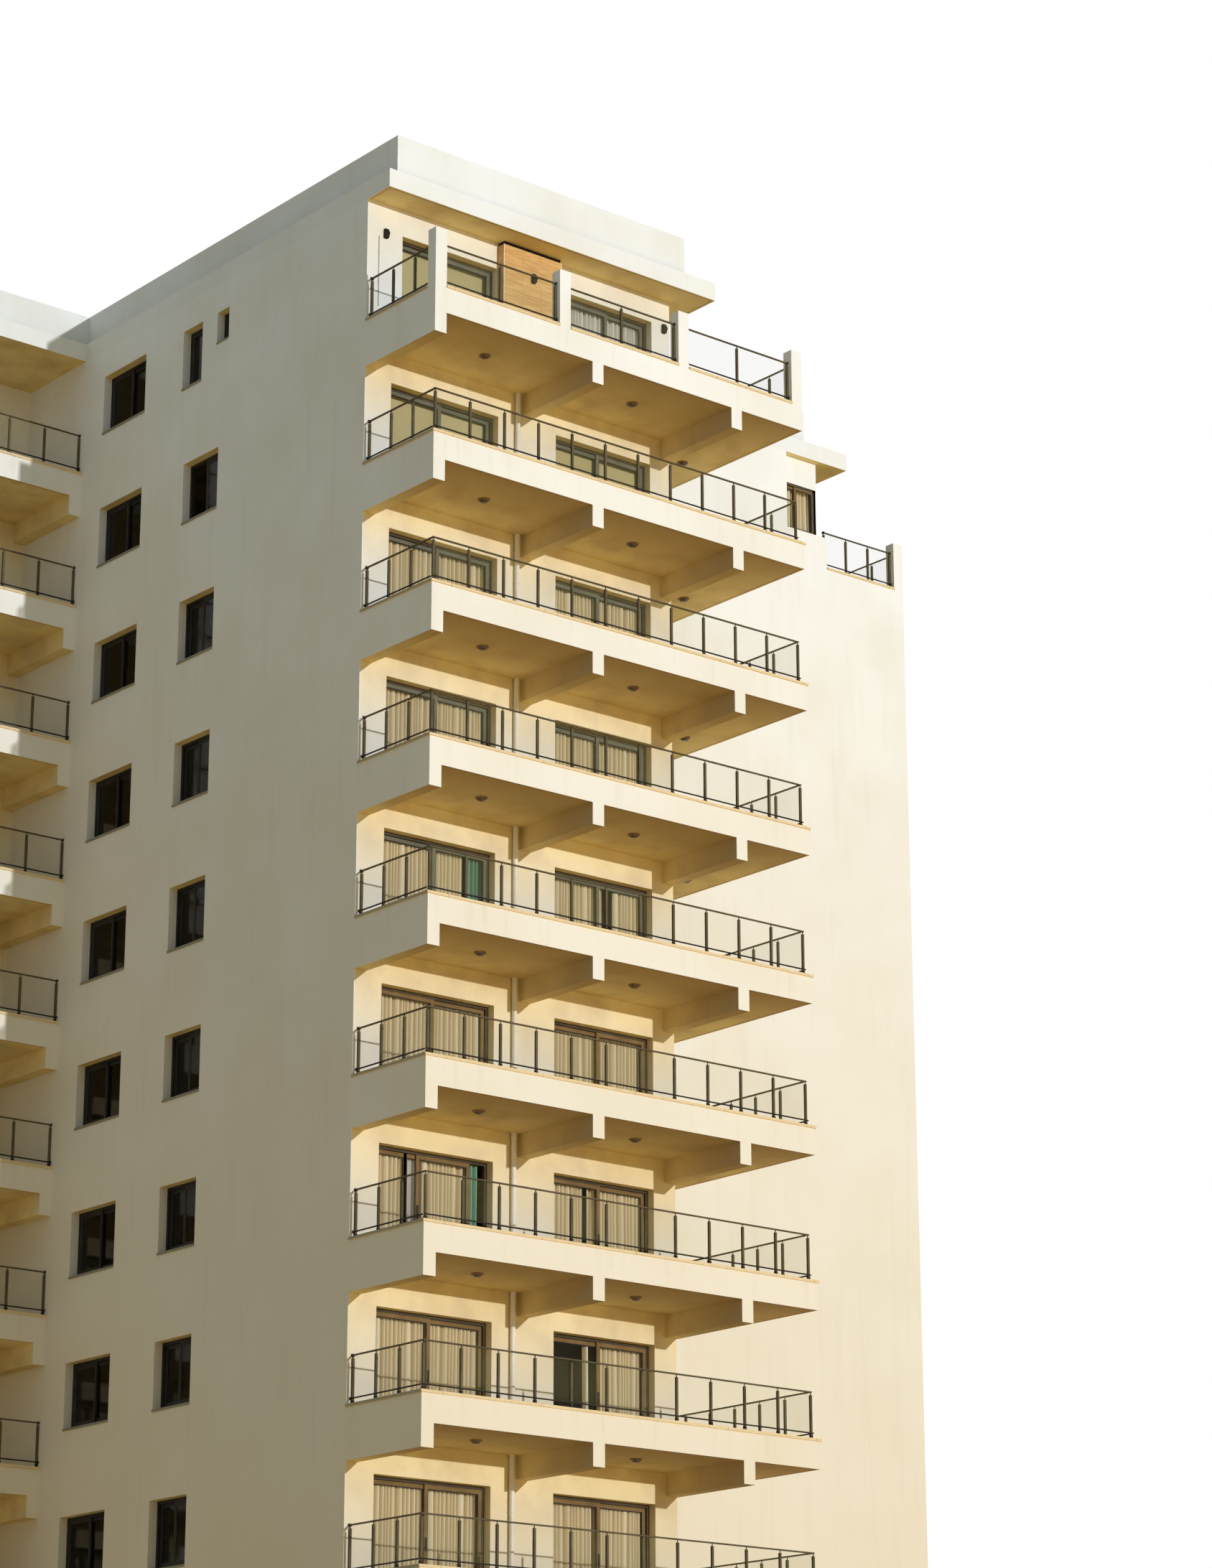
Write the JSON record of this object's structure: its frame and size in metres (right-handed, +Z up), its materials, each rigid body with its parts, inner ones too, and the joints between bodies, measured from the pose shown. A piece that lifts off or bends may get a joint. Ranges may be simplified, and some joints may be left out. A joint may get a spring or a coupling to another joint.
{
  "type": "apartment block",
  "caption": "Slim white apartment block with a stack of glazed balconies, a set-back wing on each side and a penthouse storey.",
  "frame": {"origin": "middle of the block's outline at ground level", "axes": "+Z up, -Y towards the street front with the balconies, +X to the right seen from the street"},
  "size_m": [22.95, 19.07, 37.52],
  "materials": {
    "plaster": "painted plaster",
    "floor": "tile on concrete",
    "coping_stone": "honed",
    "railing": "satin",
    "railing_glass": "clear",
    "pipe": "satin",
    "timber": "oiled",
    "lamp_bronze": "satin",
    "lamp_black": "satin"
  },
  "bodies": {
    "root": {"front_wall": "plaster", "front_lintels": "plaster", "left_wall": "plaster", "left_spandrels": "plaster", "step_wall": "plaster", "setback_wall": "plaster", "terrace_walls": "plaster", "right_wall": "plaster", "right_spandrels": "plaster", "rear_wall": "plaster", "rear_spandrels": "plaster", "wing_front_wall": "plaster", "wing_lintels": "plaster", "wing_side_wall": "plaster", "penthouse_wall": "plaster", "corner_apron": "plaster", "corner_lintel": "plaster", "terrace_door_lintel": "plaster", "balcony_slabs": "plaster", "side_slabs": "plaster", "balcony_beams": "plaster", "front_upstands": "plaster", "side_upstands": "plaster", "penthouse_piers": "plaster", "cross_parapets": "plaster", "side_parapets": "plaster", "front_roof": "plaster", "main_roof": "plaster", "wing_roof": "plaster", "front_floors": "floor", "main_floors": "floor", "wing_floors": "floor", "front_copings": "coping_stone", "side_copings": "coping_stone", "window_sills": "coping_stone", "front_posts": "railing", "side_posts": "railing", "front_rails": "railing", "side_rails": "railing", "front_glass": "railing_glass", "side_glass": "railing_glass", "downpipes": "pipe", "timber_cladding": "timber", "ceiling_lamps": "lamp_bronze", "wall_lamps": "lamp_black"}
  },
  "joints": []
}
